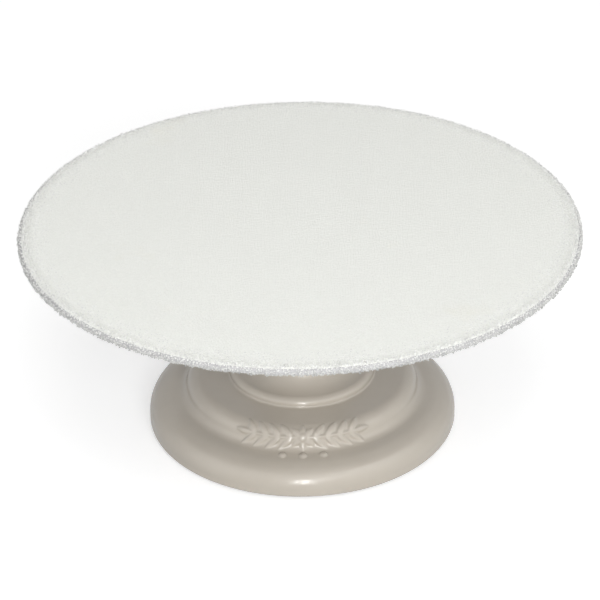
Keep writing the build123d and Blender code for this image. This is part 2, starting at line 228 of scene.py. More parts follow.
# The window that the enamel mirrors, with its panes as (place across, width)
WINDOW_PANES = [(-0.12, 0.06), (0.055, 0.14)]
WINDOW_PANE_HEIGHT = 0.6
WINDOW_DISTANCE = 1.45
WINDOW_MIDDLE_HEIGHT = 0.38
WINDOW_TARGET = (0, -0.08, 0.02)
WINDOW_BRIGHTNESS = 12.0

# Camera
CAMERA_FOCAL_LENGTH_MM = 150.0
CAMERA_SENSOR_WIDTH_MM = 36.0
CAMERA_TARGET = (-0.0005, 0, 0.07465)
CAMERA_DISTANCE = 1.3934
CAMERA_ELEVATION = 30.12
CAMERA_ROLL = -0.78
CAMERA_SIGHT = 30.0


# ---------------------------------------------------------------------------------------------------------
# Meshes
# ---------------------------------------------------------------------------------------------------------


def build_mesh(name, vertices, faces, material, sharp_angle=60.0):
    """An object from millimetre vertices and faces, with smooth shading, in the scene."""
    mesh = bpy.data.meshes.new(name)
    mesh.from_pydata(np.asarray(vertices) * MILLIMETRE, [], faces)
    mesh.materials.append(material)
    mesh.shade_smooth()
    mesh.set_sharp_from_angle(angle=radians(sharp_angle))
    piece = bpy.data.objects.new(name, mesh)
    bpy.context.scene.collection.objects.link(piece)
    return piece


def face_outwards(piece):
    """Merges points that coincide and turns every face of a closed mesh outwards."""
    work = bmesh.new()
    work.from_mesh(piece.data)
    bmesh.ops.remove_doubles(work, verts=work.verts, dist=1e-6)
    bmesh.ops.dissolve_degenerate(work, edges=work.edges, dist=1e-7)
    bmesh.ops.recalc_face_normals(work, faces=work.faces)
    work.to_mesh(piece.data)
    work.free()


def corner_points(before, corner, after, rounding, spacing):
    """The corner of a section, or the points of the arc that rounds it."""
    if rounding == 0:
        return [corner]
    to_before = (before - corner) / np.linalg.norm(before - corner)
    to_after = (after - corner) / np.linalg.norm(after - corner)
    half_angle = acos(np.clip(to_before @ to_after, -1, 1)) / 2
    inwards = to_before + to_after
    centre = corner + inwards / np.linalg.norm(inwards) * rounding / sin(half_angle)
    first = corner + to_before * rounding / tan(half_angle) - centre
    last = corner + to_after * rounding / tan(half_angle) - centre
    start = atan2(first[1], first[0])
    turn = (atan2(last[1], last[0]) - start + pi) % (2 * pi) - pi
    arc_step = np.clip(spacing(*corner) / rounding, SMALLEST_ARC_STEP, LARGEST_ARC_STEP)
    angles = start + turn * np.linspace(0, 1, ceil(abs(turn) / arc_step) + 1)
    return [centre + rounding * np.array((cos(angle), sin(angle))) for angle in angles]


def section_points(corners, spacing, run_spacing):
    """A closed section as points, from corners (radius, height, rounding)."""
    places = [np.array(corner[:2], float) for corner in corners]
    points = []
    for index, corner in enumerate(corners):
        before = places[index - 1]
        after = places[(index + 1) % len(places)]
        points += corner_points(before, places[index], after, corner[2], spacing)
    divided = []
    for index, point in enumerate(points):
        following = points[(index + 1) % len(points)]
        run = np.linalg.norm(following - point)
        pieces = max(1, ceil(run / run_spacing(*((point + following) / 2)) - 0.05))
        divided += [point + (following - point) * step / pieces for step in range(pieces)]
    return np.array(divided)


def section_normals(points):
    """The outward normal at each point of a closed section that runs outwards along its bottom."""
    along = np.roll(points, -1, axis=0) - np.roll(points, 1, axis=0)
    normals = np.stack([along[:, 1], -along[:, 0]], axis=1)
    return normals / np.linalg.norm(normals, axis=1)[:, None]


def lengths_along(points):
    """How far along the section each of its points is."""
    steps = np.linalg.norm(np.diff(points, axis=0), axis=1)
    return np.concatenate([[0], np.cumsum(steps)])


def turned_vertices(radii, heights, azimuths):
    """Points of a solid of revolution, from (azimuth, section) grids of radii and heights."""
    turns = np.radians(azimuths)[:, None]
    grid = np.stack([radii * np.sin(turns), -radii * np.cos(turns), heights + 0 * turns], axis=2)
    return grid.reshape(-1, 3)


def turned_faces(azimuth_count, section_count):
    """Quads of a solid of revolution with a closed section."""
    rows = np.arange(azimuth_count)[:, None]
    columns = np.arange(section_count)[None, :]
    next_rows = (rows + 1) % azimuth_count
    next_columns = (columns + 1) % section_count
    quads = [
        rows * section_count + columns,
        rows * section_count + next_columns,
        next_rows * section_count + next_columns,
        next_rows * section_count + columns,
    ]
    return np.stack(quads, axis=2).reshape(-1, 4)


# ---------------------------------------------------------------------------------------------------------
# Enamelled pedestal
# ---------------------------------------------------------------------------------------------------------


def in_ornament_zone(radius, height):
    """True on the outside of the casting where the ornament is raised."""
    level = ORNAMENT_BOTTOM < height < ORNAMENT_TOP
    return level and ORNAMENT_INNER_RADIUS < radius < ORNAMENT_OUTER_RADIUS


def casting_spacing(radius, height):
    """Length of the short runs that make an arc of the casting's section."""
    return FINE_SPACING if in_ornament_zone(radius, height) else PLAIN_SPACING


def casting_run_spacing(radius, height):
    """Longest straight run of the casting's section."""
    return FINE_SPACING if in_ornament_zone(radius, height) else RUN_SPACING


def casting_section():
    """The casting's closed section, the same as in the CAD model."""
    return section_points(
        [
            (RIM_INNER_RADIUS, RIM_LIFT, RIM_INNER_ROUND),
            (BASE_RADIUS, RIM_LIFT, RIM_OUTER_ROUND),
            (BASE_RADIUS, FOOT_EDGE_HEIGHT, FOOT_EDGE_ROUND),
            (FOOT_SHOULDER_RADIUS, FOOT_SHOULDER_HEIGHT, FOOT_SHOULDER_ROUND),
            (STEP_BOTTOM_RADIUS, STEP_BOTTOM, STEP_COVE),
            (STEP_RADIUS, STEP_TOP, STEP_ROUND),
            (COLLAR_RADIUS, STEP_TOP, COLLAR_COVE),
            (COLLAR_RADIUS, COLLAR_TOP, COLLAR_ROUND),
            (NECK_COVE_RADIUS, COLLAR_TOP, NECK_COVE),
            (NECK_WAIST_RADIUS, NECK_WAIST_HEIGHT, NECK_WAIST_ROUND),
            (HEAD_RADIUS, HEAD_FLARE_HEIGHT, HEAD_FLARE_ROUND),
            (HEAD_RADIUS, NECK_TOP, HEAD_EDGE_ROUND),
            (SEAT_RADIUS, NECK_TOP, SEAT_EDGE_ROUND),
            (SEAT_RADIUS, HEAD_FLARE_HEIGHT, 0),
            (RELIEF_BORE_RADIUS, HEAD_FLARE_HEIGHT, 0),
            (RELIEF_BORE_RADIUS, LOWER_SEAT_TOP, 0),
            (SEAT_RADIUS, LOWER_SEAT_TOP, 0),
            (SEAT_RADIUS, HOUSING_BOTTOM, SEAT_EDGE_ROUND),
            (HOUSING_RADIUS, HOUSING_BOTTOM, HOUSING_EDGE_ROUND),
            (HOUSING_RADIUS, HOUSING_ROOF, HOUSING_ROOT_ROUND),
            (COLLAR_INNER_RADIUS, HOUSING_ROOF, HOLLOW_ROUND),
            (COLLAR_INNER_RADIUS + WALL / 2, STEP_ROOF, HOLLOW_ROUND),
            (STEP_INNER_RADIUS, STEP_ROOF, STEP_ROOF_ROUND),
            (STEP_INNER_RADIUS, FOOT_ROOF, HOLLOW_ROUND),
            (RIM_INNER_RADIUS, FOOT_ROOF, FOOT_ROOF_ROUND),
        ],
        casting_spacing,
        casting_run_spacing,
    )


def casting_azimuths():
    """Azimuths of the casting's columns, finer behind the ornament."""
    fine = np.arange(-SPRIG_AZIMUTH_LIMIT, SPRIG_AZIMUTH_LIMIT, FINE_AZIMUTH_STEP)
    rest = 360 - SPRIG_AZIMUTH_LIMIT - fine[-1]
    count = ceil(rest / PLAIN_AZIMUTH_STEP)
    return np.concatenate([fine, fine[-1] + rest * np.arange(1, count) / count])


def soft_dome(distance, limit, height):
    """A rounded rise with a soft edge, where distance is under limit."""
    inside = np.clip(1 - (distance / limit) ** 2, 0, None)
    return height * inside * (1.5 - 0.5 * inside) ** 2


def leaf_relief(across, up, root, angle, length, half_width):
    """Height of one leaf with a pointed tip and a sunk vein. root is its place across, angle in degrees."""
    lean = radians(angle)
    ahead = (across - root) * cos(lean) + up * sin(lean)
    aside = up * cos(lean) - (across - root) * sin(lean)
    share = np.clip(ahead / length, 0, 1)
    width = half_width * np.sin(pi * share**0.8) ** 0.7 + 1e-6
    flank = np.clip((1 - np.abs(aside) / width) / LEAF_FLANK, 0, 1)
    fullness = (1 - 0.3 * share) * np.clip(width / half_width, 0, 1) ** 0.6
    body = LEAF_HEIGHT * flank**2 * (3 - 2 * flank) * fullness
    vein = VEIN_DEPTH * np.exp(-((aside / VEIN_HALF_WIDTH) ** 2)) * (1 - share) * flank
    return np.where((ahead > 0) & (ahead < length), np.clip(body - vein, 0, None), 0)


def sprig_relief(across, up, sprig_radius):
    """Height of the leaf sprig with its stem, petals and bead. across and up are distances from the bead."""
    stem_length = radians(STEM_END_AZIMUTH) * sprig_radius
    leaves = [(stem_length - TIP_LEAF_OVERLAP, 0, TIP_LEAF_LENGTH, LEAF_HALF_WIDTH)]
    for azimuth in LEAF_AZIMUTHS:
        root = radians(azimuth) * sprig_radius - LEAF_ROOT_OVERLAP
        leaves.append((root, LEAF_ANGLE, LEAF_LENGTH, LEAF_HALF_WIDTH))
        leaves.append((root, -LEAF_ANGLE, LEAF_LENGTH, LEAF_HALF_WIDTH))
    for angle in PETAL_ANGLES:
        leaves.append((0, angle, PETAL_LENGTH, PETAL_HALF_WIDTH))
    beyond = np.clip(np.abs(across) - stem_length, 0, None)
    height = soft_dome(np.hypot(up, beyond), STEM_HALF_WIDTH, STEM_HEIGHT)
    height = np.maximum(height, soft_dome(np.hypot(up, across), BEAD_RADIUS, BEAD_HEIGHT))
    for side in (-1, 1):
        for leaf in leaves:
            height = np.maximum(height, leaf_relief(side * across, up, *leaf))
    return height


def stud_relief(azimuths, section):
    """Height of the three studs on the shelf below the sprig, as an (azimuth, section) grid."""
    shelf = section[:, 1] < STEP_BOTTOM + 0.6
    outwards = (section[:, 0] - STUD_CIRCLE_RADIUS)[None, :]
    height = np.zeros((len(azimuths), len(section)))
    for azimuth in STUD_AZIMUTHS:
        around = np.radians(azimuths - azimuth)[:, None] * STUD_CIRCLE_RADIUS
        height = np.maximum(height, soft_dome(np.hypot(around, outwards), STUD_RADIUS, STUD_HEIGHT))
    return height * shelf[None, :]


def ornament_relief(azimuths, section, normals):
    """How far the sprig and the studs raise each point, as an (azimuth, section) grid."""
    along = lengths_along(section)
    outside = (section[:, 0] > ORNAMENT_INNER_RADIUS) & (section[:, 1] > ORNAMENT_BOTTOM)
    outside &= along < along[np.argmax(section[:, 1])]
    tilt = np.degrees(np.arctan2(normals[:, 1], normals[:, 0]))
    on_round = outside & (section[:, 0] > STEP_ROUND_CENTRE) & (section[:, 1] > STEP_TOP - STEP_ROUND)
    on_round &= tilt > degrees(STEP_LEAN) + 1
    up = (along - np.interp(SPRIG_TILT, tilt[on_round], along[on_round]))[None, :]
    sprig_radius = STEP_ROUND_CENTRE + STEP_ROUND * cos(radians(SPRIG_TILT))
    across = np.radians(azimuths)[:, None] * sprig_radius
    relief = np.maximum(sprig_relief(across, up, sprig_radius), stud_relief(azimuths, section))
    near_front = np.abs(azimuths)[:, None] < SPRIG_AZIMUTH_LIMIT + 1
    return relief * near_front * outside[None, :]


def uneven_points(section):
    """True at each point of the section with a cast skin, outside and in the hollow, but no machined face."""
    top = np.argmax(section[:, 1])
    order = np.arange(len(section))
    skin = (order < top) & (section[:, 1] > RIM_LIFT + 1.5) & (section[:, 1] < NECK_TOP - 4)
    hollow = (order > top) & (section[:, 0] > HOUSING_RADIUS + 2) & (section[:, 1] > 6)
    return skin | hollow


def cast_waviness(section, azimuths):
    """The slow unevenness of a sand casting under its enamel, as an (azimuth, section) grid."""
    points = turned_vertices(section[None, :, 0], section[None, :, 1], azimuths)
    broad = np.array([noise.noise(Vector(point) / BROAD_WAVE_SIZE) for point in points])
    small = np.array([noise.noise(Vector(point) / SMALL_WAVE_SIZE + Vector((7, 3, 1))) for point in points])
    waves = (BROAD_WAVE_DEPTH * broad + SMALL_WAVE_DEPTH * small).reshape(len(azimuths), len(section))
    waves = waves * uneven_points(section)[None, :]
    # The foot's side is the casting's widest place, so there the waves only sink.
    widest = section[:, 0] > BASE_RADIUS - WIDEST_ZONE
    return np.where(widest[None, :], -np.abs(waves), waves)


def foot_boss(azimuth, material):
    """One boss under the rim, with the socket for a rubber foot and a flared root in the casting."""
    root_radius = FOOT_BOSS_RADIUS + FOOT_BOSS_ROOT_REACH
    root_top = FOOT_ROOF + FOOT_BOSS_SINK
    section = section_points(
        [
            (FOOT_SOCKET_RADIUS, FOOT_BOSS_BOTTOM, FOOT_SOCKET_EDGE_ROUND),
            (FOOT_BOSS_RADIUS, FOOT_BOSS_BOTTOM, FOOT_BOSS_EDGE_ROUND),
            (FOOT_BOSS_RADIUS, FOOT_ROOF - 0.4, FOOT_BOSS_ROOT_ROUND),
            (root_radius, FOOT_ROOF + 0.1, 0),
            (root_radius, root_top, 0),
            (0, root_top, 0),
            (0, FOOT_SOCKET_TOP, 0),
            (FOOT_SOCKET_RADIUS, FOOT_SOCKET_TOP, 0),
        ],
        lambda radius, height: 0.5,
        lambda radius, height: 3.0,
    )
    turns = np.arange(0, 360, 7.5)
    vertices = turned_vertices(section[None, :, 0], section[None, :, 1], turns)
    middle = radians(azimuth)
    vertices += (FOOT_CIRCLE_RADIUS * sin(middle), -FOOT_CIRCLE_RADIUS * cos(middle), 0)
    return build_mesh("boss", vertices, turned_faces(len(turns), len(section)), material)


def join_bosses(body, bosses):
    """Moves the bosses into the casting's mesh, in its second material."""
    work = bmesh.new()
    work.from_mesh(body.data)
    for boss in bosses:
        first = len(work.faces)
        work.from_mesh(boss.data)
        work.faces.ensure_lookup_table()
        for face in work.faces[first:]:
            face.material_index = 1
        bpy.data.objects.remove(boss)
    work.to_mesh(body.data)
    work.free()


def pedestal(enamel, bare_casting):
    """The casting with its ornament, its uneven skin and its four foot bosses, as one piece."""
    section = casting_section()
    normals = section_normals(section)
    azimuths = casting_azimuths()
    raised = ornament_relief(azimuths, section, normals) + cast_waviness(section, azimuths)
    radii = section[None, :, 0] + raised * normals[None, :, 0]
    heights = section[None, :, 1] + raised * normals[None, :, 1]
    vertices = turned_vertices(radii, heights, azimuths)
    body = build_mesh("pedestal", vertices, turned_faces(len(azimuths), len(section)), enamel)
    body.data.materials.append(bare_casting)
    inner = (np.arange(len(section)) >= np.argmax(section[:, 1])) | (section[:, 1] < RIM_LIFT + 0.5)
    body.data.polygons.foreach_set("material_index", np.tile(inner, len(azimuths)).astype(np.int32))
    join_bosses(body, [foot_boss(45 + 90 * number, bare_casting) for number in range(4)])
    face_outwards(body)
    return body


# ---------------------------------------------------------------------------------------------------------
# Granular pad
# ---------------------------------------------------------------------------------------------------------


def pad_section():
    """The closed section of the backing under the granules: a disc with a rounded edge."""
    return section_points(
        [
            (0, PAD_BODY_BOTTOM, 0),
            (PAD_SIDE, PAD_BODY_BOTTOM, PAD_LOWER_EDGE_ROUND),
            (PAD_SIDE, PAD_TOP - PAD_SHOULDER_DROP, PAD_EDGE_ROUND),
            (PAD_SHOULDER_RADIUS, PAD_TOP, PAD_SHOULDER_ROUND),
            (0, PAD_TOP, 0),
        ],
        lambda radius, height: 0.35,
        lambda radius, height: 12.0 if radius < CRUMBLING_START - 1 else 0.6,
    )


def pad_body(foam, backing):
    """The smooth body under the granules: foam under the grain of the top, and the grey backing at the edge,
    which also paints the shade in the gaps between the edge crumbs.
    """
    section = pad_section()
    azimuths = np.arange(0, 360, PAD_AZIMUTH_STEP)
    vertices = turned_vertices(section[None, :, 0], section[None, :, 1], azimuths)
    body = build_mesh("pad_body", vertices, turned_faces(len(azimuths), len(section)), foam)
    face_outwards(body)
    body.data.materials.append(backing)
    # The backing at the edge shows between the crumbs as dark gaps: painted shade as well as the backing's
    # own grey.
    edge = (PAD_SIDE - 1.5) * MILLIMETRE
    below = (PAD_BOTTOM + 0.2) * MILLIMETRE
    for face in body.data.polygons:
        face.material_index = int(face.center.xy.length > edge or face.center.z < below)
    return body


def random_turns(count):
    """That many random rotation matrices."""
    quaternions = RANDOM.normal(size=(count, 4))
    w, x, y, z = (quaternions / np.linalg.norm(quaternions, axis=1)[:, None]).T
    rows = [
        [1 - 2 * (y * y + z * z), 2 * (x * y - z * w), 2 * (x * z + y * w)],
        [2 * (x * y + z * w), 1 - 2 * (x * x + z * z), 2 * (y * z - x * w)],
        [2 * (x * z - y * w), 2 * (y * z + x * w), 1 - 2 * (x * x + y * y)],
    ]
    return np.array(rows).transpose(2, 0, 1)


def spread_shape(name, shape, shape_faces, centres, sizes, turns, raggedness, material):
    """One mesh with a copy of a small shape at each centre, scaled, turned and made a little irregular."""
    count = len(centres)
    local = shape[None] * sizes[:, None, :]
    local = local * (1 + raggedness * RANDOM.uniform(-1, 1, (count, len(shape), 1)))
    vertices = centres[:, None, :] + np.einsum("nvk,nck->nvc", local, turns)
    faces = shape_faces[None] + len(shape) * np.arange(count)[:, None, None]
    return build_mesh(name, vertices.reshape(-1, 3), faces.reshape(-1, 3), material, sharp_angle=180)


def crumb_shape():
    """A small round shape of 12 points, as points and triangles."""
    work = bmesh.new()
    bmesh.ops.create_icosphere(work, subdivisions=1, radius=1)
    points = np.array([vertex.co for vertex in work.verts])
    triangles = np.array([[vertex.index for vertex in face.verts] for face in work.faces])
    work.free()
    return points, triangles


def grain_shape():
    """A low closed dome: a tip, a ring of five half way down and a ring of five at the foot."""
    turns = np.arange(5) * 2 * pi / 5
    upper = np.stack([0.62 * np.cos(turns), 0.62 * np.sin(turns), 0.72 + 0 * turns], axis=1)
    lower = np.stack([np.cos(turns), np.sin(turns), -0.45 + 0 * turns], axis=1)
    points = np.concatenate([[(0, 0, 1)], upper, lower])
    triangles = []
    for index in range(5):
        following = (index + 1) % 5
        triangles.append((0, 1 + index, 1 + following))
        triangles.append((1 + index, 6 + index, 6 + following))
        triangles.append((1 + index, 6 + following, 1 + following))
    for index in range(1, 4):
        triangles.append((6, 6 + index + 1, 6 + index))
    return points, np.array(triangles)


def hexagonal_places(pitch, radius):
    """Unevenly shifted places of a hexagonal grid inside a circle, sorted from front to back."""
    rows = int(radius / (pitch * sqrt(3) / 2)) + 1
    columns = int(radius / pitch) + 1
    row, column = np.meshgrid(np.arange(-rows, rows + 1), np.arange(-columns, columns + 1), indexing="ij")
    places = np.stack([(column + 0.5 * (row % 2)) * pitch, row * pitch * sqrt(3) / 2], axis=2).reshape(-1, 2)
    places = places + RANDOM.normal(scale=0.2 * pitch, size=places.shape)
    places = places[np.hypot(*places.T) < radius]
    return places[np.argsort(places[:, 1])]


def top_grains(material):
    """Shallow grains all over the pad's flat top, in a few pieces."""
    shape, triangles = grain_shape()
    pieces = []
    parts = np.array_split(hexagonal_places(GRAIN_PITCH, CRUMBLING_FULL), GRAIN_PIECES)
    for number, part in enumerate(parts, start=1):
        count = len(part)
        width = RANDOM.uniform(*GRAIN_WIDTHS, count)
        height = RANDOM.uniform(*GRAIN_HEIGHTS, count)
        sizes = np.stack([width, width * RANDOM.uniform(0.8, 1.2, count), height], axis=1)
        spin = RANDOM.uniform(0, 2 * pi, count)
        zero = np.zeros(count)
        rows = [
            [np.cos(spin), -np.sin(spin), zero],
            [np.sin(spin), np.cos(spin), zero],
            [zero, zero, np.ones(count)],
        ]
        turns = np.array(rows).transpose(2, 0, 1)
        centres = np.column_stack([part, np.full(count, PAD_TOP)])
        name = f"pad_grains_{number}"
        pieces.append(spread_shape(name, shape, triangles, centres, sizes, turns, 0.12, material))
    return pieces


def crumbs_at(name, azimuths, radius, height, size, material):
    """Round crumbs at those places, kept inside the pad's box."""
    reach = 1.15 * size
    radius = np.minimum(radius, PAD_RADIUS - reach)
    height = np.minimum(height, TOTAL_HEIGHT - reach)
    centres = np.stack([radius * np.sin(azimuths), -radius * np.cos(azimuths), height], axis=1)
    sizes = size[:, None] * RANDOM.uniform(0.78, 1.0, (len(size), 3))
    shape, triangles = crumb_shape()
    return spread_shape(name, shape, triangles, centres, sizes, random_turns(len(size)), 0.14, material)


def zone_ends(section, along, zone):
    """First and last place along the pad's section in a zone of radii and clear of the plate."""
    finely = np.arange(0, along[-1], 0.05)
    radii = np.interp(finely, along, section[:, 0])
    clear_of_plate = (np.interp(finely, along, section[:, 1]) > PAD_TOP - 1) | (radii > PAD_WRAP)
    wanted = finely[(radii > zone[0]) & (radii <= zone[1]) & clear_of_plate]
    return wanted.min(), wanted.max()


def crumb_places(start, end, step, pitch):
    """Azimuths and places along the section of unevenly shifted rows of crumbs round the pad."""
    rows = []
    for level in np.arange(start, end, step):
        count = int(2 * pi * PAD_SIDE / pitch)
        azimuths = (np.arange(count) + RANDOM.uniform()) * 2 * pi / count
        azimuths = azimuths + RANDOM.normal(scale=0.3 * pitch / PAD_SIDE, size=count)
        levels = np.clip(level + RANDOM.normal(scale=0.3 * step, size=count), start, end)
        rows.append(np.stack([azimuths, levels], axis=1))
    return np.concatenate(rows).T


def edge_crumbs(name, step, pitch, sizes, proud, zone, material):
    """Crumbs over a zone of the pad's top or edge. They stand out by proud.

    Towards the middle of the pad they are fewer and sink into the top.
    """
    section = pad_section()
    normals = section_normals(section)
    along = lengths_along(section)
    azimuths, levels = crumb_places(*zone_ends(section, along, zone), step, pitch)
    beyond_start = np.interp(levels, along, section[:, 0]) - CRUMBLING_START
    loose = np.clip(beyond_start / (CRUMBLING_FULL - CRUMBLING_START), 0, 1)
    kept = RANDOM.uniform(0, 1, len(levels)) < FEWEST_CRUMBS + (1 - FEWEST_CRUMBS) * loose
    azimuths, levels, loose = azimuths[kept], levels[kept], loose[kept]
    size = RANDOM.uniform(*sizes, len(levels))
    stand = RANDOM.uniform(*proud, len(levels)) - CRUMB_SINK * (1 - loose)
    radius = np.interp(levels, along, section[:, 0]) + stand * np.interp(levels, along, normals[:, 0])
    height = np.interp(levels, along, section[:, 1]) + stand * np.interp(levels, along, normals[:, 1])
    return crumbs_at(name, azimuths, radius, height, size, material)


def fringe_crumbs(material):
    """Ragged crumbs that hang from the pad's lower edge."""
    azimuths = RANDOM.uniform(0, 2 * pi, FRINGE_COUNT)
    clumps = np.array([noise.noise(Vector((31 * sin(turn), 31 * cos(turn), 0))) for turn in azimuths])
    reach = np.clip(0.75 + 0.8 * clumps, FRINGE_LEAST_REACH, FRINGE_MOST_REACH)
    size = RANDOM.uniform(*FRINGE_SIZES, FRINGE_COUNT)
    radius = RANDOM.uniform(PAD_SIDE - 1.4, PAD_SIDE + 0.5, FRINGE_COUNT)
    height = PAD_BOTTOM - reach * RANDOM.uniform(0, 1, FRINGE_COUNT)
    return crumbs_at("pad_fringe", azimuths, radius, height, size, material)


# ---------------------------------------------------------------------------------------------------------
# Materials
# ---------------------------------------------------------------------------------------------------------


class Finish:
    """A node material being put together."""

    def __init__(self, name, roughness=0.5, metallic=0.0):
        self.material = bpy.data.materials.new(name)
        self.material.use_nodes = True
        self.tree = self.material.node_tree
        self.shader = self.tree.nodes["Principled BSDF"]
        self.shader.inputs["Roughness"].default_value = roughness
        self.shader.inputs["Metallic"].default_value = metallic
        self.place = self.tree.nodes.new("ShaderNodeTexCoord").outputs["Object"]

    def node(self, kind, **inputs):
        """A node of that kind, with its inputs linked or set."""
        made = self.tree.nodes.new(kind)
        for name, value in inputs.items():
            socket = made.inputs[name.replace("_", " ")]
            if isinstance(value, bpy.types.NodeSocket):
                self.tree.links.new(value, socket)
            else:
                socket.default_value = value
        return made

    def noise(self, size, detail=3.0, place=None, roughness=0.55):
        """Noise whose features are about that many millimetres across, from 0 to 1."""
        scale = 1 / (size * MILLIMETRE)
        vector = place or self.place
        made = self.node("ShaderNodeTexNoise", Vector=vector, Scale=scale, Detail=detail, Roughness=roughness)
        return made.outputs["Fac"]

    def ramp(self, factor, stops):
        """Colours or greys by factor, from (position, colour) pairs."""
        made = self.node("ShaderNodeValToRGB", Fac=factor)
        elements = made.color_ramp.elements
        while len(elements) < len(stops):
            elements.new(0.5)
        for element, (position, colour) in zip(elements, stops):
            element.position = position
            element.color = (*colour, 1) if isinstance(colour, tuple) else (colour, colour, colour, 1)
        return made.outputs["Color"]

    def span(self, factor, low, high, start=0.3, end=0.7):
        """factor's range from start to end turned into low to high, each a number or a node's output."""
        limits = {"From_Min": start, "From_Max": end, "To_Min": low, "To_Max": high}
        return self.node("ShaderNodeMapRange", Value=factor, **limits).outputs["Result"]

    def multiply(self, first, second):
        """Product of two colours."""
        made = self.tree.nodes.new("ShaderNodeMix")
        made.data_type = "RGBA"
        made.blend_type = "MULTIPLY"
        made.inputs["Factor"].default_value = 1
        self.tree.links.new(first, made.inputs["A"])
        self.tree.links.new(second, made.inputs["B"])
        return made.outputs["Result"]

    def rings(self, radial_size, height_size):
        """Coordinates that make noise run round the object's axis, as turning marks do."""
        flat = self.node("ShaderNodeVectorMath")
        flat.operation = "MULTIPLY"
        self.tree.links.new(self.place, flat.inputs[0])
        flat.inputs[1].default_value = (1, 1, 0)
        radius = self.node("ShaderNodeVectorMath")
        radius.operation = "LENGTH"
        self.tree.links.new(flat.outputs["Vector"], radius.inputs[0])
        split = self.node("ShaderNodeSeparateXYZ", Vector=self.place)
        joined = self.node("ShaderNodeCombineXYZ", X=radius.outputs["Value"], Z=split.outputs["Z"])
        scaled = self.node("ShaderNodeVectorMath")
        scaled.operation = "MULTIPLY"
        self.tree.links.new(joined.outputs["Vector"], scaled.inputs[0])
        scaled.inputs[1].default_value = (1 / radial_size, 1, 1 / height_size)
        return scaled.outputs["Vector"]

    def colour(self, socket):
        """Sets the base colour."""
        self.tree.links.new(socket, self.shader.inputs["Base Color"])

    def rough(self, socket):
        """Sets the roughness."""
        self.tree.links.new(socket, self.shader.inputs["Roughness"])

    def bump(self, height, depth, strength=1.0, under=None):
        """Bumps of that depth in millimetres, over any other bump."""
        made = self.node("ShaderNodeBump", Height=height)
        made.inputs["Strength"].default_value = strength
        made.inputs["Distance"].default_value = depth * MILLIMETRE
        if under is not None:
            self.tree.links.new(under, made.inputs["Normal"])
        self.tree.links.new(made.outputs["Normal"], self.shader.inputs["Normal"])
        return made.outputs["Normal"]


def enamel_finish():
    """Glossy warm-grey enamel on cast iron."""
    finish = Finish("enamel", roughness=0.26)
    shades = [(0.25, (0.518, 0.471, 0.403)), (0.75, (0.545, 0.498, 0.428))]
    body = finish.ramp(finish.noise(45, 2), shades)
    mottle = finish.ramp(finish.noise(7, 3), [(0.2, (0.975, 0.97, 0.965)), (0.8, (1.0, 1.0, 1.0))])
    finish.colour(finish.multiply(body, mottle))
    finish.shader.inputs["Coat Weight"].default_value = 0.45
    finish.shader.inputs["Coat Roughness"].default_value = 0.05
    finish.shader.inputs["Specular IOR Level"].default_value = 0.8
    peel = finish.bump(finish.noise(5, 2), 0.03)
    finish.bump(finish.noise(1.2, 2), 0.003, under=peel)
    return finish.material


def bare_casting_finish():
    """The thinly coated sand casting inside the pedestal."""
    finish = Finish("cast_inside")
    shades = [(0.3, (0.27, 0.255, 0.235)), (0.5, (0.36, 0.34, 0.31)), (0.72, (0.44, 0.415, 0.38))]
    finish.colour(finish.ramp(finish.noise(14, 6), shades))
    finish.rough(finish.span(finish.noise(5, 4), 0.45, 0.75))
    sand = finish.bump(finish.noise(1.3, 5), 0.3)
    finish.bump(finish.noise(8, 3), 0.5, under=sand)
    return finish.material


def pad_finish(name, darkest, lightest, lower_edge_painted_shade=1.0):
    """Matt white foam-coated granules, each a slightly different shade, faintly mottled, and darker towards
    the lower edge as painted shade.
    """
    finish = Finish(name, roughness=0.85)
    island = finish.node("ShaderNodeNewGeometry").outputs["Random Per Island"]
    shade = finish.ramp(island, [(0.0, darkest), (1.0, lightest)])
    stain = finish.ramp(finish.noise(55, 4), [(0.62, (1.0, 1.0, 1.0)), (0.8, (0.985, 0.97, 0.935))])
    # Painted shade: the colour darkens towards the pad's lower edge, which faces down.
    height = finish.node("ShaderNodeSeparateXYZ", Vector=finish.place).outputs["Z"]
    low, high = (PAD_BOTTOM - 0.8) * MILLIMETRE, (PAD_TOP - 0.6) * MILLIMETRE
    painted_shade_low_down = finish.ramp(finish.span(height, 0, 1, start=low, end=high), [(0.0, lower_edge_painted_shade), (1.0, 1.0)])
    finish.colour(finish.multiply(finish.multiply(shade, stain), painted_shade_low_down))
    finish.shader.inputs["Specular IOR Level"].default_value = 0.3
    finish.bump(finish.noise(0.35, 3), 0.05)
    return finish.material


def backing_and_gap_shade_finish():
    """The woven backing under the pad, whose grey between the edge crumbs is also painted shade of their
    gaps.
    """
    finish = Finish("pad_backing_and_gap_shade", roughness=0.9)
    finish.colour(finish.ramp(finish.noise(2.5, 4), [(0.3, (0.46, 0.455, 0.46)), (0.7, (0.56, 0.555, 0.56))]))
    weave = finish.node("ShaderNodeTexVoronoi", Vector=finish.place, Scale=1 / (1.8 * MILLIMETRE))
    finish.bump(weave.outputs["Distance"], 0.25)
    return finish.material


def turned_metal_finish(name, shades, roughness, mark_size=0.35, depth=0.01):
    """Metal with the fine rings that turning leaves."""
    finish = Finish(name, metallic=1.0)
    marks = finish.noise(mark_size, 4, place=finish.rings(1, 3))
    blotches = finish.noise(20, 3)
    tint = finish.ramp(blotches, [(0.3, shades[0]), (0.7, shades[1])])
    streaks = finish.ramp(marks, [(0.3, 0.86), (0.7, 1.0)])
    finish.colour(finish.multiply(tint, streaks))
    finish.rough(finish.span(marks, *roughness))
    finish.bump(marks, depth)
    return finish.material


def plain_metal_finish(name, shades, roughness, grain=1.5):
    """Ground, plated or polished metal with slight blotches."""
    finish = Finish(name, metallic=1.0)
    finish.colour(finish.ramp(finish.noise(grain * 3, 4), [(0.3, shades[0]), (0.7, shades[1])]))
    finish.rough(finish.span(finish.noise(grain, 4), *roughness))
    finish.bump(finish.noise(grain / 3, 3), 0.006)
    return finish.material


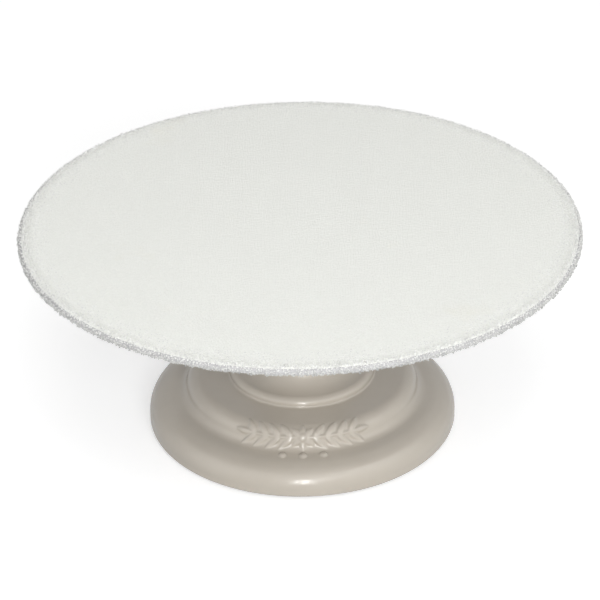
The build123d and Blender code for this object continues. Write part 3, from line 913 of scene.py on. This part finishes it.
def moulded_finish(name, shades, roughness, grain, depth):
    """Rubber or plastic with a fine grain."""
    finish = Finish(name)
    finish.colour(finish.ramp(finish.noise(grain * 6, 4), [(0.3, shades[0]), (0.7, shades[1])]))
    finish.rough(finish.span(finish.noise(grain * 2, 3), *roughness))
    finish.bump(finish.noise(grain, 3), depth)
    return finish.material


def dress(material, *nodes):
    """Gives CAD nodes that material."""
    for name in nodes:
        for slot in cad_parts[name].material_slots:
            slot.material = material


# ---------------------------------------------------------------------------------------------------------
# Studio
# ---------------------------------------------------------------------------------------------------------


def add_light(name, size, power, place, target, in_reflections=True):
    """A rectangular lamp of size (width, height) in metres, aimed at a target."""
    lamp = bpy.data.lights.new(name, "AREA")
    lamp.shape = "RECTANGLE"
    lamp.size, lamp.size_y = size
    lamp.energy = power
    holder = bpy.data.objects.new(name, lamp)
    holder.location = place
    holder.rotation_euler = (Vector(target) - Vector(place)).to_track_quat("-Z", "Y").to_euler()
    holder.visible_camera = False
    holder.visible_glossy = in_reflections
    bpy.context.scene.collection.objects.link(holder)
    return holder


def calculated(tree, operation, *values):
    """The result of a math node. Each value is a number or another node's output."""
    made = tree.nodes.new("ShaderNodeMath")
    made.operation = operation
    for socket, value in zip(made.inputs, values):
        if isinstance(value, bpy.types.NodeSocket):
            tree.links.new(value, socket)
        else:
            socket.default_value = value
    return made.outputs["Value"]


def side_glow(tree, azimuth, elevation, tightness, strength):
    """A broad glow on one side of the room, strongest in its middle."""
    level = cos(radians(elevation))
    side = (level * sin(radians(azimuth)), -level * cos(radians(azimuth)), sin(radians(elevation)))
    facing = tree.nodes.new("ShaderNodeVectorMath")
    facing.operation = "DOT_PRODUCT"
    facing.inputs[1].default_value = side
    tree.links.new(tree.nodes.new("ShaderNodeTexCoord").outputs["Generated"], facing.inputs[0])
    ahead = calculated(tree, "MAXIMUM", facing.outputs["Value"], 0)
    return calculated(tree, "MULTIPLY", calculated(tree, "POWER", ahead, tightness), strength)


def room_glow(tree):
    """The room's even glow and its broad brighter sides, all stronger in reflections."""
    total = ROOM_GLOW
    for side in ROOM_BRIGHT_SIDES:
        total = calculated(tree, "ADD", side_glow(tree, *side), total)
    reflected = tree.nodes.new("ShaderNodeLightPath").outputs["Is Glossy Ray"]
    gain = calculated(tree, "MULTIPLY_ADD", reflected, ROOM_REFLECTION - 1, 1)
    background = tree.nodes["Background"]
    background.inputs["Color"].default_value = (1, 1, 1, 1)
    tree.links.new(calculated(tree, "MULTIPLY", total, gain), background.inputs["Strength"])


def mirrored_window():
    """The window's panes, equally bright, which show only as highlights."""
    for number, (across, width) in enumerate(WINDOW_PANES, start=1):
        size = (width, WINDOW_PANE_HEIGHT)
        power = WINDOW_BRIGHTNESS * pi * width * WINDOW_PANE_HEIGHT
        place = (across, -WINDOW_DISTANCE, WINDOW_MIDDLE_HEIGHT)
        pane = add_light(f"pane_{number}", size, power, place, WINDOW_TARGET)
        pane.visible_diffuse = False


def studio_lights():
    """A soft white room, its two lamps and a window."""
    world = bpy.data.worlds.new("room")
    world.use_nodes = True
    bpy.context.scene.world = world
    room_glow(world.node_tree)
    for name, size, power, place in LAMPS:
        add_light(name, size, power, place, LAMP_TARGET, in_reflections=False)
    mirrored_window()


def floor():
    """A wide pale floor."""
    finish = Finish("floor", roughness=0.9)
    finish.colour(finish.ramp(finish.noise(400, 2), [(0.3, 0.74), (0.7, 0.76)]))
    finish.shader.inputs["Specular IOR Level"].default_value = 0.1
    finish.shader.inputs["Emission Color"].default_value = (1, 1, 1, 1)
    ray = finish.node("ShaderNodeLightPath")
    reflected = finish.span(ray.outputs["Is Glossy Ray"], 0, FLOOR_GLOW_REFLECTED, start=0, end=1)
    glow = finish.span(ray.outputs["Is Camera Ray"], reflected, FLOOR_GLOW_SEEN, start=0, end=1)
    finish.tree.links.new(glow, finish.shader.inputs["Emission Strength"])
    reach = FLOOR_REACH / MILLIMETRE
    corners = [(-reach, -reach, 0), (reach, -reach, 0), (reach, reach, 0), (-reach, reach, 0)]
    build_mesh("floor", corners, [(0, 1, 2, 3)], finish.material)


def camera():
    """A long lens above the front, tipped a little to one side."""
    lens = bpy.data.cameras.new("camera")
    lens.lens = CAMERA_FOCAL_LENGTH_MM
    lens.sensor_width = CAMERA_SENSOR_WIDTH_MM
    lens.clip_end = CAMERA_SIGHT
    eye = bpy.data.objects.new("camera", lens)
    elevation = radians(CAMERA_ELEVATION)
    backwards = Vector((0, -cos(elevation), sin(elevation)))
    eye.location = Vector(CAMERA_TARGET) + CAMERA_DISTANCE * backwards
    upright = Matrix.Rotation(pi / 2 - elevation, 4, "X")
    eye.rotation_euler = (upright @ Matrix.Rotation(radians(CAMERA_ROLL), 4, "Z")).to_euler()
    bpy.context.scene.collection.objects.link(eye)
    bpy.context.scene.camera = eye


def colour_management():
    """Plain display colours."""
    view = bpy.context.scene.view_settings
    view.view_transform = "Standard"
    view.look = "None"
    view.exposure = 0
    view.gamma = 1


# ---------------------------------------------------------------------------------------------------------
# Put together
# ---------------------------------------------------------------------------------------------------------


def add_pedestal():
    """The pedestal stands for the CAD casting."""
    piece = pedestal(enamel_finish(), bare_casting_finish())
    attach(piece, "base")
    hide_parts("base_casting")


def add_pad():
    """The pad's body and its granules stand for the CAD pad."""
    top_foam = pad_finish("pad_foam", (0.815, 0.822, 0.785), (0.85, 0.857, 0.82))
    # The edge foam's shades reach darker than the top's: partly random tone from crumb to crumb, partly
    # painted shade of the rim.
    edge_foam_with_painted_shade = pad_finish("pad_foam_edge_with_painted_shade", (0.68, 0.682, 0.67), (0.9, 0.902, 0.88), lower_edge_painted_shade=0.64)
    body = pad_body(top_foam, backing_and_gap_shade_finish())
    granules = top_grains(top_foam)
    granules += [edge_crumbs(*zone, edge_foam_with_painted_shade) for zone in CRUMB_ZONES]
    granules.append(fringe_crumbs(edge_foam_with_painted_shade))
    for piece in granules:
        piece.parent = body
    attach(body, "pad")
    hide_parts("non_slip_pad")


def dress_cad_pieces():
    """Materials for the CAD pieces that stay."""
    aluminium = turned_metal_finish("plate_aluminium", ((0.58, 0.58, 0.59), (0.66, 0.66, 0.67)), (0.26, 0.46))
    dress(aluminium, "turntable_plate")
    cast_aluminium = turned_metal_finish("hub_aluminium", ((0.52, 0.52, 0.53), (0.6, 0.6, 0.61)), (0.3, 0.5))
    dress(cast_aluminium, "hub")
    spindle = turned_metal_finish("spindle_steel", ((0.42, 0.42, 0.43), (0.5, 0.5, 0.51)), (0.18, 0.34), 0.25)
    dress(spindle, "spindle")
    races = plain_metal_finish("bearing_steel", ((0.5, 0.5, 0.51), (0.58, 0.58, 0.59)), (0.1, 0.22))
    dress(races, "upper_outer_race", "upper_inner_race", "lower_outer_race", "lower_inner_race")
    dress(races, "upper_balls", "lower_balls", "upper_shields", "lower_shields")
    zinc = plain_metal_finish("zinc_steel", ((0.46, 0.48, 0.5), (0.6, 0.61, 0.6)), (0.25, 0.45), grain=2.5)
    dress(zinc, "bearing_cap", "spacer_sleeve", "thrust_washer", "plate_screws")
    black = plain_metal_finish("black_steel", ((0.03, 0.03, 0.033), (0.06, 0.06, 0.065)), (0.35, 0.55))
    dress(black, "retaining_ring", "hub_set_screw")
    rubber = moulded_finish("rubber", ((0.018, 0.018, 0.018), (0.035, 0.034, 0.033)), (0.6, 0.85), 0.5, 0.05)
    dress(rubber, *[f"rubber_foot_{number}" for number in range(1, 5)])
    nylon = moulded_finish("nylon", ((0.68, 0.64, 0.52), (0.76, 0.72, 0.6)), (0.4, 0.55), 0.4, 0.01)
    dress(nylon, "upper_cage", "lower_cage")


colour_management()
camera()
studio_lights()
floor()
add_pedestal()
add_pad()
dress_cad_pieces()
